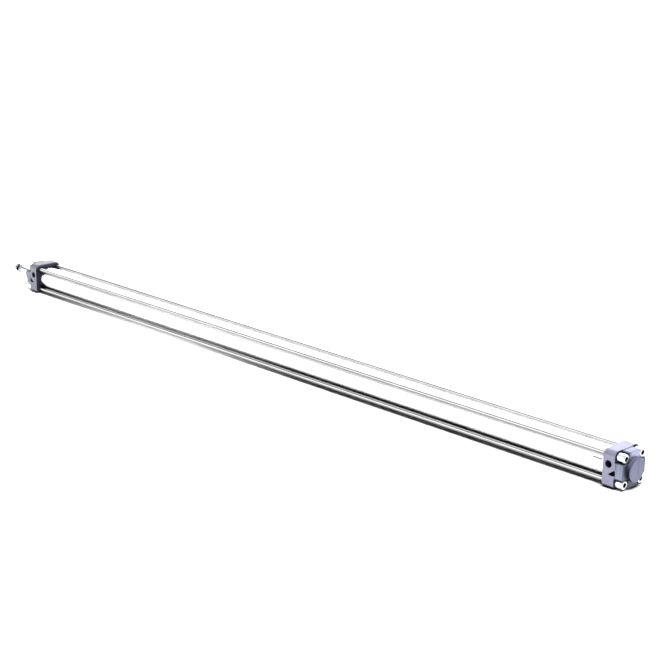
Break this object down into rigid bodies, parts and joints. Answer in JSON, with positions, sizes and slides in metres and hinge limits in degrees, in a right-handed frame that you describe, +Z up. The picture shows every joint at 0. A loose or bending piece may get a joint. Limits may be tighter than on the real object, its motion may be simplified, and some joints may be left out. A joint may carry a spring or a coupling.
{
  "type": "pneumatic cylinder",
  "caption": "Long double-acting air cylinder: round barrel held by tie rods between two cast end caps, threaded piston rod with a lock nut, and air ports on one side.",
  "frame": {"origin": "on the cylinder's axis at the rear cap's mounting face, where the locating boss starts", "axes": "+X along the axis towards the rod end, +Z up, +Y the side with the air ports; the cylinder lies on the flat undersides of both caps"},
  "size_m": [1.263, 0.047, 0.047],
  "materials": {
    "cast_aluminium": "die-cast, matt with a faint blue tint",
    "barrel_aluminium": "drawn tube, clear anodised, satin",
    "tie_rod_steel": "drawn stainless bar, satin",
    "zinc_steel": "bright zinc plating",
    "rod_chrome": "hard chromed and polished",
    "seal_rubber": "matt black",
    "bush_bronze": "sintered bronze, matt",
    "screw_brass": "turned, satin",
    "piston_aluminium": "turned, satin",
    "magnet_ferrite": "pressed ferrite, matt",
    "guide_plastic": "filled plastic, matt"
  },
  "bodies": {
    "housing": {"rear_cap": "cast_aluminium", "bearing_cap": "cast_aluminium", "barrel": "barrel_aluminium", "tie_rod_1": "tie_rod_steel", "tie_rod_2": "tie_rod_steel", "tie_rod_3": "tie_rod_steel", "tie_rod_4": "tie_rod_steel", "rear_collar_nuts": "zinc_steel", "front_collar_nuts": "zinc_steel", "rear_barrel_seal": "seal_rubber", "front_barrel_seal": "seal_rubber", "rear_cushion_seal": "seal_rubber", "front_cushion_seal": "seal_rubber", "rod_bush": "bush_bronze", "rod_wiper_seal": "seal_rubber"},
    "piston_rings": {"piston_guide_ring": "guide_plastic", "piston_rear_seal": "seal_rubber", "piston_front_seal": "seal_rubber"},
    "rod_and_piston": {"piston_rod": "rod_chrome", "piston_rear_half": "piston_aluminium", "piston_front_half": "piston_aluminium", "magnet_ring": "magnet_ferrite", "piston_o_ring": "seal_rubber", "rear_buffer_ring": "seal_rubber", "front_buffer_ring": "seal_rubber", "front_cushion_sleeve": "piston_aluminium", "rear_cushion_nut": "zinc_steel", "rod_lock_nut": "zinc_steel"},
    "rear_adjuster": {"rear_cushion_screw": "screw_brass", "rear_screw_o_ring": "seal_rubber"},
    "front_adjuster": {"front_cushion_screw": "screw_brass", "front_screw_o_ring": "seal_rubber"}
  },
  "joints": [
    {"name": "rod_slide", "type": "slide", "parent": "housing", "child": "piston_rings", "axis": [1, 0, 0], "range_m": [-0.016, 1.084]},
    {"name": "rod_turn", "type": "hinge", "parent": "piston_rings", "child": "rod_and_piston", "pos_m": [0, 0, 0], "axis": [1, 0, 0], "continuous": true},
    {"name": "rear_adjuster_turn", "type": "hinge", "parent": "housing", "child": "rear_adjuster", "pos_m": [0.0131, 0.0185, -0.0038], "axis": [0, 1, 0], "range_deg": [-400, 680]},
    {"name": "front_adjuster_turn", "type": "hinge", "parent": "housing", "child": "front_adjuster", "pos_m": [1.1809, 0.0185, -0.0038], "axis": [0, 1, 0], "range_deg": [-400, 680]}
  ]
}
